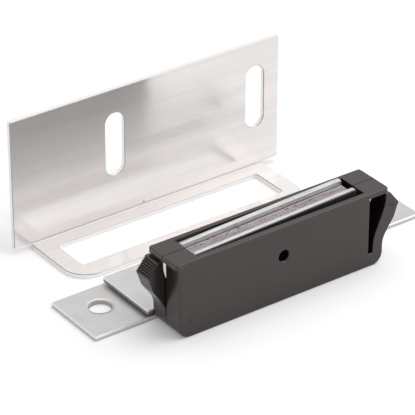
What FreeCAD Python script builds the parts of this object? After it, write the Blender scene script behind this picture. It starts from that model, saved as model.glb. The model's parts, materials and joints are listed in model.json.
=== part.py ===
import FreeCAD, Part
import math
import os

os.makedirs("parts", exist_ok=True)

V = FreeCAD.Vector

# Magnetic door catch: a black housing with a rocking magnet, the folded bracket that it
# snaps into, and the steel strike for the door. X runs along the length, +Y is the back,
# +Z is up. The origin is on the table, in the middle of the set.

# Bracket, folded from one sheet
sheet_thickness = 1.5
bend_inside_radius = 0.5
flange_top = 46.0
wing_length = 6.1
leg_back_strip = 5.4
leg_front_strip = 7.0
leg_side_strip = 6.3
leg_corner_radius = 8.5
cutout_corner_radius = 0.8
slot_width = 7.0
slot_length = 22.0
slot_drop = 19.4
slot_spacing = 54.2
right_slot_margin = 9.4
flange_corner_radius = 0.4
sheet_edge_break = 0.2

# Housing, two equal half shells that meet at the parting plane
face_wall = 1.35
shell_wall = 1.7
cavity_end_wall = 1.3
core_height = 2.7
lip_end_overhang = 1.35
lip_face_step = 0.3
lip_thickness = 1.7
seam_relief = 0.1
bottom_corner_radius = 3.8
face_edge_radius = 0.5
lip_corner_radius = 1.0
lip_edge_bevel = 0.25
slot_edge_bevel = 0.2
rib_thickness = 1.3
core_rib_count = 3
core_corner_radius = 0.5

# Clearances between the housing and the bracket's cut-out
cutout_end_clearance = 0.3
cutout_side_clearance = 0.1

# Snap ear, a springy arm that rises from the bottom corner: stem, foot, elbow, knee, ramp, tip
ear_slot_width = 1.8
ear_slot_floor = 4.6
ear_root_width = 3.8
ear_foot_rise = 3.8
ear_foot_radius = 7.0
ear_bulge = 5.9
ear_elbow_tuck = 1.6
ear_elbow_drop = 4.8
ear_elbow_radius = 1.6
ear_ramp_height = 4.4
ear_tip_gap = 0.7
ear_tip_width = 1.7
ear_lean = 4.5
ear_lean_start = 4.6
ear_neck_drop = 3.3
ear_lean_radius = 12.0
ear_seam_clearance = 0.3
ear_corner_radius = 0.5
ear_tooth_count = 7
ear_tooth_depth = 0.3
ear_tooth_land = 0.3
ear_recess_depth = 0.4
ear_recess_border = 0.8
ear_recess_drop = 3.7
ear_recess_slope = 0.35
ear_groove_width = 0.45
ear_groove_depth = 0.6

# Pivot boss and its through hole
boss_height = 15.6
boss_radius = 3.0
boss_bore_radius = 1.88
boss_bore_chamfer = 0.25

# Peg and socket that line the two shells up
peg_radius = 1.1
peg_length = 2.0
peg_from_end = 2.7
peg_height = 2.5
peg_clearance = 0.05
peg_end_gap = 0.3
mark_radius = 0.8
mark_depth = 0.1
mark_from_end = 3.2
mark_height = 6.0

# Magnet and pole plates, which rock together on the boss
pole_length = 60.0
pole_thickness = 1.9
pole_height = 19.4
pole_above_lip = 0.1
pole_edge_radius = 0.55
pole_corner_radius = 0.8
magnet_thickness = 5.2
magnet_top_recess = 1.6
magnet_bottom_recess = 0.3
magnet_end_recess = 0.4
magnet_edge_radius = 0.35
pole_running_clearance = 0.05
magnet_hole_clearance = 0.5
magnet_back_gap = 0.3
magnet_front_gap = 1.8
magnet_end_gap = 1.2
rock_at_rest = 1.9
rock_stop_gap = 0.1

# Strike: base plate, armature plate, two rivets and two spacers
strike_length = 123.0
strike_width = 23.8
strike_thickness = 1.5
strike_hole_margin = 10.7
strike_hole_radius = 3.5
strike_hole_offset = 1.5
strike_hole_chamfer = 0.25
armature_end_step = 18.6
armature_thickness = 1.5
plate_corner_radius = 0.4
plate_edge_break = 0.15
spacer_thickness = 0.75
spacer_radius = 4.0
rivet_spacing = 48.0
rivet_radius = 2.0
rivet_head_radius = 3.0
rivet_clearance = 0.05

# Places on the table, as the set lies in the photograph
leg_to_strike_gap = 5.6
strike_to_catch_gap = 0.3
bracket_shift_x = -3.4
catch_shift_x = -3.1

# Housing sizes that follow from the magnet and its room
pole_stack = 2 * pole_thickness + magnet_thickness
cavity_width = magnet_back_gap + pole_stack + magnet_front_gap
cavity_half_length = pole_length / 2 + magnet_end_gap
cavity_floor = shell_wall + core_height + rib_thickness
rock_drop = pole_length / 2 * math.sin(math.radians(rock_at_rest))
pole_bottom = cavity_floor + rock_stop_gap + rock_drop
pole_top = pole_bottom + pole_height
catch_height = pole_top - pole_above_lip
catch_thickness = cavity_width + 2 * face_wall
half_thickness = catch_thickness / 2
magnet_stack_front = cavity_width / 2 - magnet_back_gap - pole_stack

ear_slot_x = cavity_half_length + cavity_end_wall
ear_inner_x = ear_slot_x + ear_slot_width
half_block = ear_inner_x + ear_root_width
half_lip = half_block + lip_end_overhang
lip_underside = catch_height - lip_thickness
ear_knee_x = half_block + ear_bulge
ear_tip_x = ear_inner_x + ear_lean
ear_tip_height = lip_underside - ear_tip_gap
ear_knee_height = ear_tip_height - ear_ramp_height

# Bracket sizes that follow from the housing
cutout_length = 2 * (half_block + cutout_end_clearance)
cutout_depth = catch_thickness + 2 * cutout_side_clearance
leg_length = cutout_length + 2 * leg_side_strip
leg_reach = leg_back_strip + cutout_depth + leg_front_strip
bend_top = sheet_thickness + bend_inside_radius
flange_length = leg_length + 2 * wing_length
slot_height = flange_top - slot_drop
right_slot_x = flange_length / 2 - right_slot_margin
left_slot_x = right_slot_x - slot_spacing

# Strike sizes and places on the table that follow
strike_hole_x = strike_length / 2 - strike_hole_margin
armature_length = strike_length - 2 * armature_end_step
armature_bottom = strike_thickness + spacer_thickness
armature_top = armature_bottom + armature_thickness
set_depth = (
    sheet_thickness + leg_reach + leg_to_strike_gap
    + strike_width + strike_to_catch_gap + catch_thickness + lip_face_step
)
flange_front_y = set_depth / 2 - sheet_thickness
strike_y = flange_front_y - leg_reach - leg_to_strike_gap - strike_width / 2
catch_y = strike_y - strike_width / 2 - strike_to_catch_gap - half_thickness


def line(a, b):
    """Straight edge between two points."""
    return Part.LineSegment(a, b).toShape()


def arc_about(centre, radius, start_deg, end_deg, place):
    """Arc edge about a centre, with place turning plane coordinates into a point."""
    points = []
    for angle_deg in (start_deg, (start_deg + end_deg) / 2, end_deg):
        angle = math.radians(angle_deg)
        points.append(place(centre[0] + radius * math.cos(angle), centre[1] + radius * math.sin(angle)))
    return Part.Arc(*points).toShape()


def box_between(low, high):
    """Box from its low corner to its high corner."""
    return Part.makeBox(high[0] - low[0], high[1] - low[1], high[2] - low[2], V(*low))


def rounded_outline(points, radii, place):
    """Closed wire through corner points, each rounded by its radius where that isn't zero."""
    count = len(points)
    starts = []
    ends = []
    mids = []
    for index in range(count):
        corner = FreeCAD.Vector(points[index][0], points[index][1], 0)
        before = FreeCAD.Vector(points[index - 1][0], points[index - 1][1], 0)
        after_point = points[(index + 1) % count]
        after = FreeCAD.Vector(after_point[0], after_point[1], 0)
        back = (before - corner).normalize()
        ahead = (after - corner).normalize()
        if radii[index] == 0:
            starts.append(corner)
            ends.append(corner)
            mids.append(None)
            continue
        half_angle = back.getAngle(ahead) / 2
        reach = radii[index] / math.tan(half_angle)
        middle = (back + ahead).normalize()
        to_centre = radii[index] / math.sin(half_angle)
        starts.append(corner + back * reach)
        ends.append(corner + ahead * reach)
        mids.append(corner + middle * (to_centre - radii[index]))
    edges = []
    for index in range(count):
        if mids[index] is not None:
            ends_3d = [place(p.x, p.y) for p in (starts[index], mids[index], ends[index])]
            edges.append(Part.Arc(*ends_3d).toShape())
        leave = ends[index]
        arrive = starts[(index + 1) % count]
        edges.append(line(place(leave.x, leave.y), place(arrive.x, arrive.y)))
    return Part.Wire(edges)


def prism(points, radii, place, direction):
    """Solid made by pushing a rounded outline along a direction."""
    return Part.Face(rounded_outline(points, radii, place)).extrude(direction)


def flat_at(height):
    """Places plane coordinates as X and Y at one height."""
    return lambda x, y: V(x, y, height)


def upright_at(depth):
    """Places plane coordinates as X and Z at one depth."""
    return lambda x, z: V(x, depth, z)


def rectangle(low_a, high_a, low_b, high_b):
    """Corner points of a rectangle, in order."""
    return [(low_a, low_b), (high_a, low_b), (high_a, high_b), (low_a, high_b)]


def edges_on_plane(shape, test):
    """Edges whose every sampled point passes the test."""
    found = []
    for edge in shape.Edges:
        first, last = edge.ParameterRange
        samples = [edge.valueAt(first + (last - first) * share) for share in (0.0, 0.35, 0.7, 1.0)]
        if all(test(point) for point in samples):
            found.append(edge)
    return found


def near(value, target):
    """True where two sizes agree to a thousandth of a millimetre."""
    return abs(value - target) < 0.001


def plate(length, width, thickness, bottom):
    """Flat plate with small corner radii and its top edge broken, centred on the origin."""
    outline = rectangle(-length / 2, length / 2, -width / 2, width / 2)
    body = prism(outline, [plate_corner_radius] * 4, flat_at(bottom), V(0, 0, thickness))
    top = bottom + thickness
    return body.makeChamfer(plate_edge_break, edges_on_plane(body, lambda point: near(point.z, top)))


def upright_slot(x, height, width, length, front, back):
    """Cutter for a slot with round ends that stands upright, from front to back in Y."""
    radius = width / 2
    straight = length / 2 - radius
    place = upright_at(front)
    edges = [
        line(place(x + radius, height - straight), place(x + radius, height + straight)),
        arc_about((x, height + straight), radius, 0, 180, place),
        line(place(x - radius, height + straight), place(x - radius, height - straight)),
        arc_about((x, height - straight), radius, 180, 360, place),
    ]
    return Part.Face(Part.Wire(edges)).extrude(V(0, back - front, 0))


def bracket_flange():
    """Upright part of the bracket, wings included, with its two slots."""
    t = sheet_thickness
    half_flange = flange_length / 2
    outline = rectangle(-half_flange, half_flange, bend_top, flange_top)
    flange = prism(outline, [0, 0, flange_corner_radius, flange_corner_radius], upright_at(0), V(0, t, 0))
    slots = []
    for slot_x in (left_slot_x, right_slot_x):
        slots.append(upright_slot(slot_x, slot_height, slot_width, slot_length, -t, 2 * t))
    flange = flange.cut(slots)
    rims = edges_on_plane(flange, lambda point: near(point.y, 0))
    rims = [edge for edge in rims if not near(edge.BoundBox.ZMax, bend_top)]
    return flange.makeChamfer(sheet_edge_break, rims)


def bracket_fold():
    """Leg with its cut-out, and the quarter ring of the bend behind it."""
    t = sheet_thickness
    half_leg = leg_length / 2
    outline = rectangle(-half_leg, half_leg, -leg_reach, -bend_inside_radius)
    leg = prism(outline, [leg_corner_radius, leg_corner_radius, 0, 0], flat_at(0), V(0, 0, t))

    # The bend turns about a line above the leg and in front of the flange
    across = lambda y, z: V(-half_leg, y, z)
    centre = (-bend_inside_radius, bend_top)
    ring = Part.Wire([
        arc_about(centre, bend_inside_radius + t, -90, 0, across),
        line(across(t, bend_top), across(0, bend_top)),
        arc_about(centre, bend_inside_radius, 0, -90, across),
        line(across(-bend_inside_radius, t), across(-bend_inside_radius, 0)),
    ])
    bend = Part.Face(ring).extrude(V(leg_length, 0, 0))
    cutout_back = -leg_back_strip
    cutout_front = cutout_back - cutout_depth
    cutout_outline = rectangle(-cutout_length / 2, cutout_length / 2, cutout_front, cutout_back)
    cutter = prism(cutout_outline, [cutout_corner_radius] * 4, flat_at(-t), V(0, 0, 3 * t))
    fold = leg.fuse(bend).removeSplitter().cut(cutter)

    # The broken rims run on round the bend, and the line along the bend stays as it is
    rims = edges_on_plane(fold, lambda point: near(point.z, t))
    rims = [edge for edge in rims if not near(edge.BoundBox.YMin, -bend_inside_radius)]
    return fold.makeChamfer(sheet_edge_break, rims)


def mounting_bracket():
    """Sheet folded once, flange upright at the back and leg flat on the table."""
    body = bracket_flange().fuse(bracket_fold()).removeSplitter()
    body.translate(V(bracket_shift_x, flange_front_y, 0))
    return body


def shell_body():
    """Half shell without its lip, as one prism of its face outline, ear at +X."""
    elbow_x = ear_knee_x - ear_elbow_tuck
    elbow_z = ear_knee_height - ear_elbow_drop
    foot_z = ear_slot_floor + ear_foot_rise
    neck_z = ear_tip_height - ear_neck_drop
    lean_z = ear_slot_floor + ear_lean_start
    corners = [
        (-half_block, 0, bottom_corner_radius),
        (half_block, 0, bottom_corner_radius),
        (half_block, foot_z, ear_foot_radius),
        (elbow_x, elbow_z, ear_elbow_radius),
        (ear_knee_x, ear_knee_height, 0),
        (ear_tip_x + ear_tip_width, ear_tip_height, 0),
        (ear_tip_x, ear_tip_height, 0),
        (ear_tip_x, neck_z, ear_lean_radius),
        (ear_inner_x, lean_z, ear_lean_radius),
        (ear_inner_x, ear_slot_floor, ear_corner_radius),
        (ear_slot_x, ear_slot_floor, ear_corner_radius),
        (ear_slot_x, lip_underside, 0),
        (-half_block, lip_underside, 0),
    ]
    points = [(x, z) for x, z, radius in corners]
    radii = [radius for x, z, radius in corners]
    depth = half_thickness - seam_relief
    return prism(points, radii, upright_at(-half_thickness), V(0, depth, 0))


def shell_lip():
    """Lip that closes the top, a little proud of the face and longer than the block."""
    front = -half_thickness - lip_face_step
    outline = rectangle(-half_lip, half_lip, front, -seam_relief)
    radii = [lip_corner_radius, lip_corner_radius, 0, 0]
    lip = prism(outline, radii, flat_at(lip_underside), V(0, 0, lip_thickness))
    rims = []
    for edge in edges_on_plane(lip, lambda point: near(point.z, catch_height)):
        if not near(edge.BoundBox.YMin, -seam_relief):
            rims.append(edge)
    return lip.makeChamfer(lip_edge_bevel, rims)


def plain_end_edge(shape):
    """The upright edge between the face and the plain end."""
    at_corner = lambda point: near(point.x, -half_block) and near(point.y, -half_thickness)
    return edges_on_plane(shape, at_corner)


def ear_teeth():
    """Cutters for the grooves across the ear's ramp."""
    knee = V(ear_knee_x, 0, ear_knee_height)
    top = V(ear_tip_x + ear_tip_width, 0, ear_tip_height)
    along = (top - knee).normalize()
    inward = V(-along.z, 0, along.x)
    pitch = (top - knee).Length / ear_tooth_count
    mouth = pitch - ear_tooth_land
    cutters = []
    for tooth in range(1, ear_tooth_count):
        middle = knee + along * (pitch * tooth)
        corners = [
            middle - along * mouth - inward * ear_tooth_depth,
            middle + along * mouth - inward * ear_tooth_depth,
            middle + inward * ear_tooth_depth,
        ]
        corners = [corner + V(0, -half_thickness - 1, 0) for corner in corners]
        groove = Part.Face(Part.makePolygon(corners + [corners[0]]))
        cutters.append(groove.extrude(V(0, half_thickness + 2, 0)))
    return cutters


def ear_recess():
    """Cutter for the shallow sink in the ear's face, open at the ear's outer edge."""
    inner_x = ear_tip_x + ear_recess_border
    outer_x = ear_knee_x + 1
    top = ear_tip_height - ear_recess_drop
    points = [
        (inner_x, ear_slot_floor + ear_foot_rise),
        (outer_x, ear_slot_floor + ear_foot_rise),
        (outer_x, top - ear_recess_slope * (outer_x - inner_x)),
        (inner_x, top),
    ]
    radii = [0] * len(points)
    return prism(points, radii, upright_at(-half_thickness - 1), V(0, 1 + ear_recess_depth, 0))


def ear_groove():
    """Cutter for the short narrow groove along the recess's upper edge."""
    inner_x = ear_tip_x + ear_recess_border
    outer_x = ear_knee_x - 2 * ear_recess_border
    top = ear_tip_height - ear_recess_drop
    fall = ear_recess_slope * (outer_x - inner_x)
    points = [
        (inner_x, top - ear_groove_width),
        (outer_x, top - ear_groove_width - fall),
        (outer_x, top - fall),
        (inner_x, top),
    ]
    return prism(points, [0] * 4, upright_at(-half_thickness - 1), V(0, 1 + ear_groove_depth, 0))


def on_slot_rim(point):
    """True on the face's rim along the ear slot, below the lip."""
    beside = ear_slot_x - 0.1 < point.x < ear_tip_x + 0.1
    above = ear_slot_floor - 0.1 < point.z < lip_underside + 0.1
    return near(point.y, -half_thickness) and beside and above


def half_shell():
    """One moulded half, face towards -Y, ear at +X, parting plane at Y zero."""
    body = shell_body()
    body = body.makeFillet(face_edge_radius, plain_end_edge(body))
    body = body.makeChamfer(slot_edge_bevel, edges_on_plane(body, on_slot_rim))
    solid = body.fuse(shell_lip())

    inner_face = -half_thickness + face_wall
    over = 1.0
    ear_gap_low = (ear_slot_x + ear_slot_width / 2, -ear_seam_clearance, ear_slot_floor + ear_corner_radius)
    ear_gap_high = (ear_knee_x + over, over, lip_underside)
    cutters = [
        box_between(
            (-cavity_half_length, inner_face, cavity_floor),
            (cavity_half_length, over, catch_height + over),
        ),
        box_between(ear_gap_low, ear_gap_high),
        ear_recess(),
        ear_groove(),
    ]
    cutters += ear_teeth()

    # Cores under the magnet and in the plain end keep the walls even
    core_low = shell_wall
    core_high = cavity_floor - rib_thickness
    core_left = -cavity_half_length + rib_thickness
    core_right = cavity_half_length - rib_thickness
    core_count = core_rib_count + 1
    core_run = (core_right - core_left - core_rib_count * rib_thickness) / core_count
    for core in range(core_count):
        left = core_left + core * (core_run + rib_thickness)
        outline = rectangle(left, left + core_run, core_low, core_high)
        radii = [core_corner_radius] * 4
        cutters.append(prism(outline, radii, upright_at(inner_face), V(0, half_thickness, 0)))
    plain_left = -half_block + shell_wall
    plain_right = -ear_slot_x
    plain_outline = rectangle(plain_left, plain_right, ear_slot_floor, lip_underside - shell_wall / 2)
    plain_depth = inner_face + face_edge_radius
    cutters.append(
        prism(plain_outline, [core_corner_radius] * 4, upright_at(plain_depth), V(0, half_thickness, 0))
    )
    peg_x = half_block - peg_from_end
    socket_floor = V(-peg_x, -peg_length - peg_end_gap, peg_height)
    socket = Part.makeCylinder(peg_radius + peg_clearance, peg_length + over, socket_floor, V(0, 1, 0))
    mark_place = V(-half_block + mark_from_end, -half_thickness - over + mark_depth, mark_height)
    mark = Part.makeCylinder(mark_radius, over, mark_place, V(0, 1, 0))
    solid = solid.cut(cutters + [socket, mark])

    # The boss carries the magnet and reaches the parting plane, where it meets its twin
    boss = Part.makeCylinder(boss_radius, -inner_face + 0.5, V(0, inner_face - 0.5, boss_height), V(0, 1, 0))
    peg_root = V(peg_x, -seam_relief - peg_radius, peg_height)
    peg = Part.makeCylinder(peg_radius, peg_radius + seam_relief + peg_length, peg_root, V(0, 1, 0))
    solid = solid.fuse([boss, peg])
    bore = Part.makeCylinder(
        boss_bore_radius, half_thickness + 2, V(0, -half_thickness - 1, boss_height), V(0, 1, 0)
    )
    mouth = Part.makeCone(
        boss_bore_radius + boss_bore_chamfer, boss_bore_radius, boss_bore_chamfer,
        V(0, -half_thickness, boss_height), V(0, 1, 0),
    )
    return solid.cut([bore, mouth]).removeSplitter()


def front_shell():
    """Half shell towards the viewer, ear at the right."""
    solid = half_shell()
    solid.translate(V(catch_shift_x, catch_y, 0))
    return solid


def rear_shell():
    """The same moulding turned half a turn, ear at the left."""
    solid = half_shell()
    solid.rotate(V(0, 0, 0), V(0, 0, 1), 180)
    solid.translate(V(catch_shift_x, catch_y, 0))
    return solid


def rock_and_place(solid):
    """Tilts a magnet piece about the boss as it lies at rest, and moves it to the catch."""
    solid.rotate(V(0, 0, boss_height), V(0, -1, 0), rock_at_rest)
    solid.translate(V(catch_shift_x, catch_y, 0))
    return solid


def pole_plate(front):
    """Pole plate with rounded rims and the hole that runs on the boss."""
    half = pole_length / 2
    outline = rectangle(-half, half, pole_bottom, pole_top)
    radii = [0, 0, pole_corner_radius, pole_corner_radius]
    solid = prism(outline, radii, upright_at(front), V(0, pole_thickness, 0))
    rims = []
    for depth in (front, front + pole_thickness):
        rims += edges_on_plane(solid, lambda point: near(point.y, depth))
    solid = solid.makeFillet(pole_edge_radius, rims)
    hole = Part.makeCylinder(
        boss_radius + pole_running_clearance, pole_thickness + 2, V(0, front - 1, boss_height), V(0, 1, 0)
    )
    return rock_and_place(solid.cut(hole))


def front_pole_plate():
    """Pole plate on the viewer's side of the magnet."""
    return pole_plate(magnet_stack_front)


def rear_pole_plate():
    """Pole plate behind the magnet."""
    return pole_plate(magnet_stack_front + pole_thickness + magnet_thickness)


def magnet():
    """Ferrite block between the pole plates."""
    half = pole_length / 2 - magnet_end_recess
    front = magnet_stack_front + pole_thickness
    low = pole_bottom + magnet_bottom_recess
    high = pole_top - magnet_top_recess
    block = box_between((-half, front, low), (half, front + magnet_thickness, high))
    across = []
    for edge in block.Edges:
        if edge.BoundBox.YLength > magnet_thickness / 2:
            across.append(edge)
    block = block.makeFillet(magnet_edge_radius, across)
    hole = Part.makeCylinder(
        boss_radius + magnet_hole_clearance, magnet_thickness + 2, V(0, front - 1, boss_height), V(0, 1, 0)
    )
    return rock_and_place(block.cut(hole))


def rivet_solid(x, extra):
    """Flush rivet with its sunk head below, grown by extra for use as a cutter."""
    sink = rivet_head_radius - rivet_radius
    base = V(x, 0, 0)
    head = Part.makeCone(rivet_head_radius + extra, rivet_radius + extra, sink, base)
    shank = Part.makeCylinder(rivet_radius + extra, armature_top - sink, base + V(0, 0, sink))
    return head.fuse(shank).removeSplitter()


def placed_strike(solid):
    """Moves a strike piece to its place on the table."""
    solid.translate(V(0, strike_y, 0))
    return solid


def rivet_cutters():
    """Holes for both rivets."""
    return [rivet_solid(side * rivet_spacing / 2, rivet_clearance) for side in (-1, 1)]


def strike_base():
    """Lower plate with a screw hole near each end."""
    body = plate(strike_length, strike_width, strike_thickness, 0)
    cutters = rivet_cutters()
    for side in (-1, 1):
        x = side * strike_hole_x
        below = V(x, strike_hole_offset, -1)
        cutters.append(Part.makeCylinder(strike_hole_radius, strike_thickness + 2, below))
        rim = V(x, strike_hole_offset, strike_thickness - strike_hole_chamfer)
        wide = strike_hole_radius + strike_hole_chamfer
        cutters.append(Part.makeCone(strike_hole_radius, wide, strike_hole_chamfer, rim))
    return placed_strike(body.cut(cutters))


def armature_plate():
    """Upper plate that the pole plates meet."""
    body = plate(armature_length, strike_width, armature_thickness, armature_bottom)
    return placed_strike(body.cut(rivet_cutters()))


def rivet(side):
    """One rivet, side -1 at the left and 1 at the right."""
    return placed_strike(rivet_solid(side * rivet_spacing / 2, 0))


def spacer(side):
    """Washer between the two plates, round one rivet."""
    base = V(side * rivet_spacing / 2, 0, strike_thickness)
    ring = Part.makeCylinder(spacer_radius, spacer_thickness, base)
    hole = Part.makeCylinder(rivet_radius + rivet_clearance, spacer_thickness, base)
    return placed_strike(ring.cut(hole))


NODES = {
    "mounting_bracket": mounting_bracket,
    "front_shell": front_shell,
    "rear_shell": rear_shell,
    "front_pole_plate": front_pole_plate,
    "rear_pole_plate": rear_pole_plate,
    "magnet": magnet,
    "strike_base": strike_base,
    "armature_plate": armature_plate,
    "left_rivet": lambda: rivet(-1),
    "right_rivet": lambda: rivet(1),
    "left_spacer": lambda: spacer(-1),
    "right_spacer": lambda: spacer(1),
}

for node_name, make in NODES.items():
    make().exportStep("parts/" + node_name + ".step")
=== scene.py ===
import bpy
import json
import math
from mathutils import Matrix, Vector


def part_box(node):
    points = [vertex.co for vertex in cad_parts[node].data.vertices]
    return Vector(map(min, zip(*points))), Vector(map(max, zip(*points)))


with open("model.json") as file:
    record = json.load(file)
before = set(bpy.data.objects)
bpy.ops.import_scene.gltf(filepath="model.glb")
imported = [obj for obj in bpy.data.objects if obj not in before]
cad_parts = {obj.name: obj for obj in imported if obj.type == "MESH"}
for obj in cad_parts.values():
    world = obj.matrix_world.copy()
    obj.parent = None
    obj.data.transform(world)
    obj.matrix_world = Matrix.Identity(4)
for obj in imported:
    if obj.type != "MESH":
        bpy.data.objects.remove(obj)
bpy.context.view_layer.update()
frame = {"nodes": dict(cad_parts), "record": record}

# Camera: place and range in metres, turn about Z and height over the horizon in degrees
CAMERA_PLACE = Vector((-0.4086, -0.5579, 0.4167))
CAMERA_AZIMUTH = -35.845
CAMERA_ELEVATION = 30.185
CAMERA_NEAR = 0.05
CAMERA_FAR = 10
FOCAL_PIXELS = 2600.8
PHOTO_PIXELS = 415
SENSOR_MM = 36.0

# Studio: a white table, and a world that is lighter on one side
FLOOR_HALF = 1.6
FLOOR_ALBEDO = 0.92
FLOOR_LIFT = 0.18
WORLD_DARK = 0.02
WORLD_LIGHT = 0.70
WORLD_SIDE = (0.62, -0.30, 0.72)

# Lamps: place and size in metres, power in watts
KEY_PLACE = (1.2, -0.5, 1.5)
KEY_SIZE = 1.9
KEY_WATTS = 18.0
TOP_PLACE = (0.1, 0.3, 1.8)
TOP_SIZE = 1.5
TOP_WATTS = 7.0

# Bend of the bracket, in metres: below BEND_TOP, behind BEND_FRONT, its inner side before BEND_INSIDE
SHEET = 0.0015
BEND_RADIUS = 0.0005
BEND_MARGIN = 0.00005
BEND_TOP = SHEET + BEND_RADIUS + BEND_MARGIN
BEND_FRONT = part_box("mounting_bracket")[1][1] - SHEET - BEND_RADIUS
BEND_INSIDE = BEND_FRONT + BEND_RADIUS + 2 * BEND_MARGIN

# Heights of the strike's two plates
STRIKE_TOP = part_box("strike_base")[1][2]
ARMATURE_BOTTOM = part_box("armature_plate")[0][2]
ARMATURE_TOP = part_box("armature_plate")[1][2]
BETWEEN_PLATES = (STRIKE_TOP + ARMATURE_BOTTOM) / 2

# Screw holes of the strike, with the widths of their edge and of the rim drawn down by the punch
MM_PER_METRE = 1000
MOUNTS = {mount["name"]: mount for mount in frame["record"]["mounts"]}
STRIKE_HOLES = MOUNTS["strike_holes"]
HOLE_X = STRIKE_HOLES["dims"]["spacing_x_mm"] / 2 / MM_PER_METRE
HOLE_Y = STRIKE_HOLES["pos_m"][1]
HOLE_RADIUS = STRIKE_HOLES["dims"]["hole_r_mm"] / MM_PER_METRE
HOLE_EDGE = 0.0004
HOLE_ROLL = 0.0011

# Joint between the magnet and the rear pole plate, and the paler band beside it
MAGNET_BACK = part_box("magnet")[1][1]
JOINT_WIDTH = 0.00035
BAND_WIDTH = 0.0006
BAND_SHARE = 0.6

# Outer side of the front pole plate, and how far the painted shade on it reaches over the edge
FRONT_PLATE_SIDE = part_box("front_pole_plate")[0][1]
GAP_SHADE_DEPTH = 0.0003

# Limits for the components of a face normal, or for a value worked out from them
WALL_BELOW = 0.3
RIM_BELOW = 0.95
FLAT_ABOVE = 0.995
CROSSWISE_ABOVE = 0.1
PLATE_EDGE_BELOW = 0.97
OUTER_ABOVE = 0.5

# The middle range of a noise value, and limits above which it makes a speck
NOISE_LOW = 0.3
NOISE_HIGH = 0.7
STAINLESS_SPECK_ABOVE = 0.82
FERRITE_PIT_ABOVE = 0.64
PLASTIC_DUST_ABOVE = 0.78

# Cut walls of the strike: the share of the height where the bright part starts, and its raggedness
CUT_ABOVE = 0.6
CUT_RAGGED = 0.12

# Heights of the strike's bump, as multiples of its distance
ROLL_HEIGHT = 8.0
MOTTLE_HEIGHT = 0.2

# Roughness: one value, or the two ends between which a noise moves it
STAINLESS_ROUGHNESS = (0.10, 0.19)
BEND_ROUGHNESS = 0.5
STRIKE_ROUGHNESS = (0.34, 0.42)
ZINC_ROUGHNESS = (0.22, 0.34)
ZINC_EDGE_ROUGHNESS = 0.55
FERRITE_ROUGHNESS = (0.4, 0.7)
PLASTIC_ROUGHNESS = (0.26, 0.34)

# Colours of the bracket
STAINLESS_WARM = (0.94, 0.895, 0.88)
STAINLESS_PALE = (0.96, 0.935, 0.92)
STAINLESS_STREAK = (0.82, 0.78, 0.765)
STAINLESS_GRAIN = (0.80, 0.76, 0.75)
STAINLESS_SPECK = (0.45, 0.42, 0.41)
STAINLESS_WALL = (0.95, 0.93, 0.92)
STAINLESS_RIM = (0.40, 0.38, 0.37)
# Painted shade for the inner side of the bend, from its dark end by the flange to its pale end by the leg
BEND_SHADE_DARK = (0.30, 0.285, 0.28)
BEND_SHADE_PALE = (0.80, 0.78, 0.77)
MILL_DARK = (0.66, 0.645, 0.635)
MILL_PALE = (0.74, 0.725, 0.715)
MILL_STREAK = (0.58, 0.565, 0.555)
MILL_GRAIN = (0.52, 0.505, 0.495)

# Colours of the strike
STRIKE_DARK = (0.57, 0.573, 0.573)
STRIKE_PALE = (0.68, 0.683, 0.687)
STRIKE_MOTTLE = (0.50, 0.495, 0.485)
STRIKE_CUT = (0.80, 0.79, 0.78)
STRIKE_TORN = (0.56, 0.53, 0.51)
# The upper plate's torn part: its fracture brown, darkened further by painted shade from the gap beneath
# it
ARMATURE_TORN_AND_SHADE = (0.26, 0.23, 0.21)
STRIKE_RIM = (0.92, 0.92, 0.91)
HOLE_WALL = (0.42, 0.375, 0.345)
HOLE_RIM = (0.52, 0.48, 0.45)

# Colours of the pole plates
ZINC_DARK = (0.62, 0.635, 0.63)
ZINC_PALE = (0.76, 0.775, 0.77)
ZINC_CLOUD = (0.46, 0.465, 0.465)
ZINC_EDGE = (0.50, 0.505, 0.50)
# Painted shade for the front plate's outer side, which faces the housing's wall across a narrow gap
ZINC_GAP_SHADE = (0.13, 0.128, 0.125)

# Colours of the magnet
FERRITE_DARK = (0.15, 0.115, 0.125)
FERRITE_PALE = (0.44, 0.375, 0.39)
FERRITE_GRIT = (0.54, 0.50, 0.50)
FERRITE_BAND = (0.56, 0.52, 0.52)
FERRITE_JOINT = (0.09, 0.08, 0.085)
FERRITE_PIT = (0.07, 0.055, 0.06)

# Colours of the housing
PLASTIC_DARK = (0.010, 0.0065, 0.006)
PLASTIC_PALE = (0.013, 0.009, 0.008)
PLASTIC_DUST = (0.08, 0.075, 0.07)
PLASTIC_GLOSS_TINT = (1.0, 0.90, 0.875)

WHITE = (1, 1, 1, 1)

# Places of a mix node's two inputs and its output, because their names are the same in every type
MIX_PLACES = {"FLOAT": (2, 3, 0), "RGBA": (6, 7, 2)}


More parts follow.
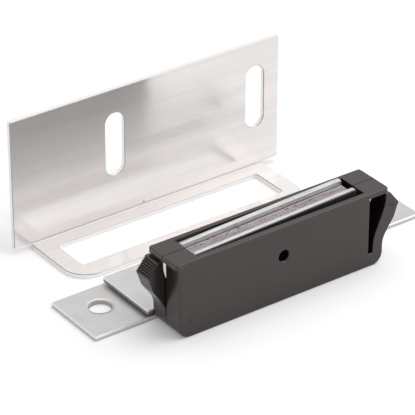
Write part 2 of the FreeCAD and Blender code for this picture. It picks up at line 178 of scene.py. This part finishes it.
class Graph:
    """Short calls for building the nodes of one material or world."""

    def __init__(self, owner):
        owner.use_nodes = True
        self.owner = owner
        self.nodes = owner.node_tree.nodes
        self.links = owner.node_tree.links
        self.nodes.clear()

    def add(self, kind, **settings):
        """New node with its plain settings."""
        node = self.nodes.new(kind)
        for key, value in settings.items():
            setattr(node, key, value)
        return node

    def link(self, source, target):
        self.links.new(source, target)

    def feed(self, socket, value):
        """Gives a socket a number, a colour or the result of another node."""
        if isinstance(value, (int, float)):
            socket.default_value = value
        elif isinstance(value, tuple):
            socket.default_value = (*value, 1)
        else:
            self.link(value, socket)

    def coordinates(self, scale=(1, 1, 1)):
        """Object coordinates, scaled."""
        place = self.add("ShaderNodeTexCoord")
        mapping = self.add("ShaderNodeMapping")
        mapping.inputs["Scale"].default_value = scale
        self.link(place.outputs["Object"], mapping.inputs["Vector"])
        return mapping.outputs["Vector"]

    def noise(self, vector, scale=1.0, detail=2.0, roughness=0.5):
        """Noise value between 0 and 1."""
        node = self.add("ShaderNodeTexNoise")
        node.inputs["Scale"].default_value = scale
        node.inputs["Detail"].default_value = detail
        node.inputs["Roughness"].default_value = roughness
        self.link(vector, node.inputs["Vector"])
        return node.outputs["Fac"]

    def remap(self, value, start, end, low, high, interpolation="LINEAR"):
        """Remaps a value from start to end onto low to high."""
        node = self.add("ShaderNodeMapRange", interpolation_type=interpolation)
        node.inputs["From Min"].default_value = start
        node.inputs["From Max"].default_value = end
        node.inputs["To Min"].default_value = low
        node.inputs["To Max"].default_value = high
        self.link(value, node.inputs["Value"])
        return node.outputs["Result"]

    def spread(self, value, low, high):
        """Remaps the middle range of a noise value onto low to high."""
        return self.remap(value, NOISE_LOW, NOISE_HIGH, low, high)

    def blend(self, kind, share, first, second):
        """First value where the share is 0 or less, second where it is 1 or more."""
        first_place, second_place, result_place = MIX_PLACES[kind]
        node = self.add("ShaderNodeMix", data_type=kind)
        self.link(share, node.inputs["Factor"])
        self.feed(node.inputs[first_place], first)
        self.feed(node.inputs[second_place], second)
        return node.outputs[result_place]

    def mix(self, share, first, second):
        """Blends two colours."""
        return self.blend("RGBA", share, first, second)

    def choose(self, share, first, second):
        """Blends two numbers."""
        return self.blend("FLOAT", share, first, second)

    def math(self, operation, first, second=0):
        """One sum on one or two values, each a number or the result of another node."""
        node = self.add("ShaderNodeMath", operation=operation)
        self.feed(node.inputs[0], first)
        self.feed(node.inputs[1], second)
        return node.outputs[0]

    def above(self, value, limit):
        return self.math("GREATER_THAN", value, limit)

    def below(self, value, limit):
        return self.math("LESS_THAN", value, limit)

    def all_of(self, first, *others):
        """1 where every share is 1."""
        for other in others:
            first = self.math("MULTIPLY", first, other)
        return first

    def split(self, vector):
        """The three components of a vector."""
        node = self.add("ShaderNodeSeparateXYZ")
        self.link(vector, node.inputs[0])
        return node.outputs[0], node.outputs[1], node.outputs[2]

    def face_normal(self):
        """The flat face normal's components along the object's own axes."""
        geometry = self.add("ShaderNodeNewGeometry")
        turn = self.add("ShaderNodeVectorTransform", vector_type="NORMAL")
        turn.convert_from = "WORLD"
        turn.convert_to = "OBJECT"
        self.link(geometry.outputs["True Normal"], turn.inputs[0])
        return self.split(turn.outputs[0])

    def unsigned(self, components):
        """The components without their signs."""
        return [self.math("ABSOLUTE", component) for component in components]

    def edge_shares(self, along):
        """Shares of cut wall and of broken rim, from how far a face lies in the sheet's plane."""
        wall = self.below(along, WALL_BELOW)
        rim = self.all_of(self.below(along, RIM_BELOW), self.above(along, WALL_BELOW))
        return wall, rim

    def looked_at(self):
        """1 for a ray from the camera, a gloss or a clear body, and 0 for one that only lights."""
        path = self.add("ShaderNodeLightPath")
        seen = self.math("MAXIMUM", path.outputs["Is Camera Ray"], path.outputs["Is Glossy Ray"])
        return self.math("MAXIMUM", seen, path.outputs["Is Transmission Ray"])

    def bump(self, height, strength, distance):
        """Bump normal from a height value."""
        node = self.add("ShaderNodeBump")
        node.inputs["Strength"].default_value = strength
        node.inputs["Distance"].default_value = distance
        self.link(height, node.inputs["Height"])
        return node.outputs["Normal"]

    def principled(self, colour, roughness, normal, metallic=0.0, **plain):
        """Main shader, joined to the output. What is the same all over is set on its own sockets."""
        shader = self.add("ShaderNodeBsdfPrincipled")
        self.link(colour, shader.inputs["Base Color"])
        self.link(roughness, shader.inputs["Roughness"])
        self.link(normal, shader.inputs["Normal"])
        shader.inputs["Metallic"].default_value = metallic
        for key, value in plain.items():
            self.feed(shader.inputs[key.replace("_", " ")], value)
        output = self.add("ShaderNodeOutputMaterial")
        self.link(shader.outputs["BSDF"], output.inputs["Surface"])
        return shader


def new_graph(name):
    """Graph of a new material."""
    return Graph(bpy.data.materials.new(name))


def stainless_sheet():
    """Brushed stainless: bright in front, duller outside, pale cut walls, thin dark rims, and painted
    shade inside the bend.
    """
    g = new_graph("stainless_sheet")
    place = g.coordinates()
    grain = g.noise(g.coordinates(scale=(18, 700, 700)))
    streak = g.noise(g.coordinates(scale=(7, 90, 90)))
    cloud = g.noise(place, scale=34.0)
    speck = g.noise(place, scale=420.0, detail=1.0)
    face = g.mix(g.spread(cloud, 0.0, 1.0), STAINLESS_WARM, STAINLESS_PALE)
    face = g.mix(g.spread(streak, 0.0, 0.5), face, STAINLESS_STREAK)
    face = g.mix(g.spread(grain, -0.2, 0.45), face, STAINLESS_GRAIN)
    face = g.mix(g.above(speck, STAINLESS_SPECK_ABOVE), face, STAINLESS_SPECK)

    # The outer side of the fold, which faces back and down, keeps the duller finish of the mill
    facing_x, facing_y, facing_z = g.face_normal()
    outer = g.above(g.math("SUBTRACT", facing_y, facing_z), OUTER_ABOVE)
    dull = g.mix(g.spread(cloud, 0.0, 1.0), MILL_DARK, MILL_PALE)
    dull = g.mix(g.spread(streak, 0.0, 0.6), dull, MILL_STREAK)
    dull = g.mix(g.spread(grain, 0.0, 0.4), dull, MILL_GRAIN)
    face = g.mix(outer, face, dull)

    # How far each face lies in the plane of the sheet: flange, leg and bend each in their own way
    size_x, size_y, size_z = g.unsigned((facing_x, facing_y, facing_z))
    y, z = g.split(place)[1:]
    bend = g.above(y, BEND_FRONT)
    low_part = g.choose(bend, size_z, g.math("SUBTRACT", 1, size_x))
    along = g.choose(g.above(z, BEND_TOP), low_part, size_y)
    wall, rim = g.edge_shares(along)
    colour = g.mix(wall, face, STAINLESS_WALL)
    colour = g.mix(rim, colour, STAINLESS_RIM)

    # The inner side of the bend gets painted shade: dark where it leaves the flange, paler towards the leg
    curved = g.all_of(g.below(size_y, FLAT_ABOVE), g.below(size_z, FLAT_ABOVE))
    lengthwise = g.below(size_x, CROSSWISE_ABOVE)
    hollow = g.all_of(curved, lengthwise, bend, g.below(y, BEND_INSIDE))
    colour = g.mix(hollow, colour, g.mix(size_z, BEND_SHADE_DARK, BEND_SHADE_PALE))
    gloss = g.choose(hollow, g.spread(streak, *STAINLESS_ROUGHNESS), BEND_ROUGHNESS)
    normal = g.bump(grain, strength=0.03, distance=0.00002)
    shader = g.principled(colour, gloss, normal, metallic=0.52, Anisotropic=0.65)
    tangent = g.add("ShaderNodeTangent", direction_type="RADIAL", axis="X")
    g.link(tangent.outputs[0], shader.inputs["Tangent"])
    return g.owner


def strike_steel():
    """Satin steel with fine mottling. Its cut walls are bright above and brown and rough below, with
    painted shade added below on the upper plate.
    """
    g = new_graph("strike_steel")
    place = g.coordinates()
    grain = g.noise(g.coordinates(scale=(300, 1500, 1500)), detail=3.0)
    cloud = g.noise(place, scale=60.0, detail=4.0)
    mottle = g.noise(place, scale=700.0, detail=3.0)
    face = g.mix(g.spread(cloud, 0.0, 1.0), STRIKE_DARK, STRIKE_PALE)
    face = g.mix(g.spread(mottle, 0.0, 0.3), face, STRIKE_MOTTLE)

    # Height within the plate that a wall belongs to, from 0 to 1
    x, y, z = g.split(place)
    lower = g.math("DIVIDE", z, STRIKE_TOP)
    upper = g.math("DIVIDE", g.math("SUBTRACT", z, ARMATURE_BOTTOM), ARMATURE_TOP - ARMATURE_BOTTOM)
    is_upper = g.above(z, BETWEEN_PLATES)
    height = g.choose(is_upper, lower, upper)
    ragged = g.math("ADD", height, g.spread(mottle, -CUT_RAGGED, CUT_RAGGED))
    # On the upper plate the torn part also holds painted shade from the gap between the plates
    torn_and_shade = g.mix(is_upper, STRIKE_TORN, ARMATURE_TORN_AND_SHADE)
    cut = g.mix(g.above(ragged, CUT_ABOVE), torn_and_shade, STRIKE_CUT)

    # Distance from the axis of the nearer screw hole, whose rim is drawn down by the punch
    offset_x = g.math("SUBTRACT", g.math("ABSOLUTE", x), HOLE_X)
    offset_y = g.math("SUBTRACT", y, HOLE_Y)
    squares = g.math("ADD", g.math("MULTIPLY", offset_x, offset_x), g.math("MULTIPLY", offset_y, offset_y))
    distance = g.math("SQRT", squares)
    hole = g.below(distance, HOLE_RADIUS + HOLE_EDGE)
    cut = g.mix(hole, cut, HOLE_WALL)
    wall, rim = g.edge_shares(g.math("ABSOLUTE", g.face_normal()[2]))
    colour = g.mix(wall, face, cut)
    colour = g.mix(rim, colour, g.mix(hole, STRIKE_RIM, HOLE_RIM))
    roll = g.remap(distance, HOLE_RADIUS, HOLE_RADIUS + HOLE_ROLL, 0, ROLL_HEIGHT, "SMOOTHSTEP")
    relief = g.math("ADD", roll, g.math("MULTIPLY", mottle, MOTTLE_HEIGHT))
    normal = g.bump(relief, strength=1.0, distance=0.00003)
    g.principled(colour, g.spread(grain, *STRIKE_ROUGHNESS), normal, metallic=0.7)
    return g.owner


def plated_steel():
    """Bright zinc with rolling streaks, dull edges, and painted shade on the front plate's outer side."""
    g = new_graph("plated_steel")
    place = g.coordinates()
    streak = g.noise(g.coordinates(scale=(60, 1100, 1100)), detail=3.0)
    cloud = g.noise(place, scale=260.0, detail=4.0, roughness=0.7)
    colour = g.mix(g.spread(streak, 0.0, 1.0), ZINC_DARK, ZINC_PALE)
    colour = g.mix(g.spread(cloud, -0.2, 0.45), colour, ZINC_CLOUD)

    # The plates' narrow faces and their broad sides are flat, and the edges between are not
    size_x, size_y, size_z = g.unsigned(g.face_normal())
    flattest = g.math("MAXIMUM", size_x, g.math("MAXIMUM", size_y, size_z))
    edge = g.below(flattest, PLATE_EDGE_BELOW)
    colour = g.mix(edge, colour, ZINC_EDGE)
    # The front plate's outer side, in the narrow gap before the housing's wall, is painted dark as shade
    gap_shade = g.below(g.split(place)[1], FRONT_PLATE_SIDE + GAP_SHADE_DEPTH)
    colour = g.mix(gap_shade, colour, ZINC_GAP_SHADE)
    gloss = g.choose(edge, g.spread(streak, *ZINC_ROUGHNESS), ZINC_EDGE_ROUGHNESS)
    normal = g.bump(streak, strength=0.12, distance=0.00003)
    g.principled(colour, gloss, normal, metallic=0.7)
    return g.owner


def ferrite():
    """Rough sintered magnet, mauve grey, with darker pits and light rubbed grains."""
    g = new_graph("ferrite")
    place = g.coordinates()
    grit = g.noise(place, scale=1500.0, detail=4.0, roughness=0.7)
    patch = g.noise(g.coordinates(scale=(0.35, 1, 1)), scale=420.0, detail=4.0, roughness=0.65)
    pit = g.noise(g.coordinates(scale=(0.5, 1, 1)), scale=1300.0, detail=3.0)
    colour = g.mix(g.spread(patch, 0.0, 1.0), FERRITE_DARK, FERRITE_PALE)
    colour = g.mix(g.spread(grit, -0.3, 0.6), colour, FERRITE_GRIT)

    # Along the rear pole plate the block has a dark joint and then a paler band
    y = g.split(place)[1]
    pale_band = g.above(y, MAGNET_BACK - JOINT_WIDTH - BAND_WIDTH)
    colour = g.mix(g.math("MULTIPLY", pale_band, BAND_SHARE), colour, FERRITE_BAND)
    joint = g.above(y, MAGNET_BACK - JOINT_WIDTH)
    colour = g.mix(joint, colour, FERRITE_JOINT)
    colour = g.mix(g.above(pit, FERRITE_PIT_ABOVE), colour, FERRITE_PIT)
    normal = g.bump(grit, strength=0.7, distance=0.00012)
    g.principled(colour, g.spread(grit, *FERRITE_ROUGHNESS), normal, metallic=0.3)
    return g.owner


def black_plastic():
    """Moulded black plastic: nearly black inside, its grey comes from a soft gloss."""
    g = new_graph("black_plastic")
    place = g.coordinates()
    grain = g.noise(place, scale=2600.0, detail=3.0)
    cloud = g.noise(place, scale=55.0, detail=3.0)
    dust = g.noise(place, scale=620.0, detail=1.0)
    colour = g.mix(g.spread(cloud, 0.0, 1.0), PLASTIC_DARK, PLASTIC_PALE)
    colour = g.mix(g.above(dust, PLASTIC_DUST_ABOVE), colour, PLASTIC_DUST)
    normal = g.bump(grain, strength=0.08, distance=0.00005)
    g.principled(
        colour, g.spread(cloud, *PLASTIC_ROUGHNESS), normal,
        Specular_IOR_Level=0.72, Specular_Tint=PLASTIC_GLOSS_TINT,
    )
    return g.owner


MATERIALS = {
    "stainless_sheet": stainless_sheet,
    "black_plastic": black_plastic,
    "plated_steel": plated_steel,
    "ferrite": ferrite,
    "strike_steel": strike_steel,
}


def dress_nodes():
    """Gives each carried-over node the material of its slot."""
    made = {name: make() for name, make in MATERIALS.items()}
    for part in frame["record"]["subparts"]:
        node = frame["nodes"][part["node"]]
        node.data.materials.clear()
        node.data.materials.append(made[part["material_slot"]])


def table_white():
    """White table: diffuse for its shadows, lifted towards white where it is looked at."""
    g = new_graph("table_white")
    diffuse = g.add("ShaderNodeBsdfDiffuse")
    g.feed(diffuse.inputs["Color"], (FLOOR_ALBEDO, FLOOR_ALBEDO, FLOOR_ALBEDO))
    lift = g.add("ShaderNodeEmission")
    g.link(g.math("MULTIPLY", g.looked_at(), FLOOR_LIFT), lift.inputs["Strength"])
    total = g.add("ShaderNodeAddShader")
    g.link(diffuse.outputs[0], total.inputs[0])
    g.link(lift.outputs[0], total.inputs[1])
    output = g.add("ShaderNodeOutputMaterial")
    g.link(total.outputs[0], output.inputs["Surface"])
    return g.owner


def make_floor():
    """Flat white table under the set."""
    mesh = bpy.data.meshes.new("table")
    h = FLOOR_HALF
    mesh.from_pydata([(-h, -h, 0), (h, -h, 0), (h, h, 0), (-h, h, 0)], [], [(0, 1, 2, 3)])
    floor = bpy.data.objects.new("table", mesh)
    bpy.context.scene.collection.objects.link(floor)
    mesh.materials.append(table_white())


def make_world():
    """Soft light, stronger from above and the right. What looks at it sees white."""
    world = bpy.data.worlds.new("studio")
    bpy.context.scene.world = world
    g = Graph(world)
    direction = g.add("ShaderNodeTexCoord")
    towards = g.add("ShaderNodeVectorMath", operation="DOT_PRODUCT")
    towards.inputs[1].default_value = WORLD_SIDE
    g.link(direction.outputs["Generated"], towards.inputs[0])
    level = g.remap(towards.outputs["Value"], -1, 1, WORLD_DARK, WORLD_LIGHT)
    light = g.add("ShaderNodeBackground")
    light.inputs["Color"].default_value = WHITE
    g.link(level, light.inputs["Strength"])
    white = g.add("ShaderNodeBackground")
    white.inputs["Color"].default_value = WHITE
    mix = g.add("ShaderNodeMixShader")
    g.link(g.looked_at(), mix.inputs["Fac"])
    g.link(light.outputs[0], mix.inputs[1])
    g.link(white.outputs[0], mix.inputs[2])
    output = g.add("ShaderNodeOutputWorld")
    g.link(mix.outputs[0], output.inputs["Surface"])


def area_lamp(name, place, size, watts):
    """Square soft box that looks at the middle of the table."""
    data = bpy.data.lights.new(name, "AREA")
    data.shape = "SQUARE"
    data.size = size
    data.energy = watts
    lamp = bpy.data.objects.new(name, data)
    lamp.location = place
    lamp.rotation_euler = (-Vector(place)).to_track_quat("-Z", "Y").to_euler()
    bpy.context.scene.collection.objects.link(lamp)


def make_lamps():
    """A large soft box high on the right, and a weaker one above."""
    area_lamp("key_box", KEY_PLACE, KEY_SIZE, KEY_WATTS)
    area_lamp("top_box", TOP_PLACE, TOP_SIZE, TOP_WATTS)


def make_camera():
    """Camera at the photograph's angle, with its lens length from the photograph's scale."""
    data = bpy.data.cameras.new("camera")
    data.sensor_width = SENSOR_MM
    data.lens = FOCAL_PIXELS / PHOTO_PIXELS * SENSOR_MM
    data.clip_start = CAMERA_NEAR
    data.clip_end = CAMERA_FAR
    camera = bpy.data.objects.new("camera", data)
    azimuth = math.radians(CAMERA_AZIMUTH)
    elevation = math.radians(CAMERA_ELEVATION)
    back = Vector((
        math.sin(azimuth) * math.cos(elevation),
        -math.cos(azimuth) * math.cos(elevation),
        math.sin(elevation),
    ))
    camera.rotation_euler = (-back).to_track_quat("-Z", "Y").to_euler()
    camera.location = CAMERA_PLACE
    bpy.context.scene.collection.objects.link(camera)
    bpy.context.scene.camera = camera


bpy.context.scene.view_settings.view_transform = "Standard"
dress_nodes()
make_floor()
make_world()
make_lamps()
make_camera()
